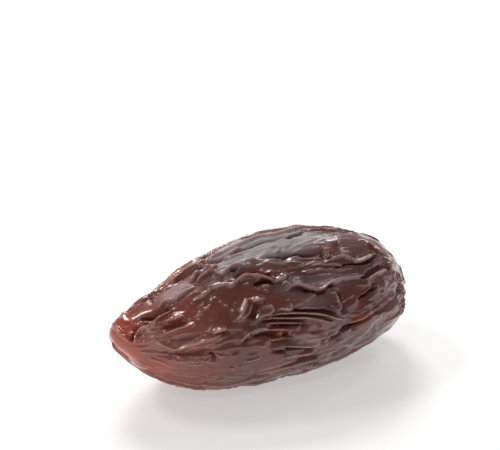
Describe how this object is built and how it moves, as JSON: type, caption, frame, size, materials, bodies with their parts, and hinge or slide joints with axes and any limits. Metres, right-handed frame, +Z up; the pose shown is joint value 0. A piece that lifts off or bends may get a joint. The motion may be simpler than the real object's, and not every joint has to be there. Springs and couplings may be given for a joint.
{
  "type": "date fruit",
  "caption": "Whole dried date lying on its side: a glossy, deeply wrinkled oval fruit with a pointed nose and a blunt stem end.",
  "frame": {"origin": "on the surface that the fruit rests on, under the middle of its bounding box", "axes": "+X along the fruit from its pointed nose to its blunt stem end, +Z up as it rests"},
  "size_m": [0.0544, 0.0268, 0.0246],
  "materials": {
    "skin": "glossy dark red-brown wrinkled fruit skin, orange-red at the nose, with a grey sheen on the raised folds"
  },
  "bodies": {
    "root": {"date_fruit": "skin"}
  },
  "joints": []
}
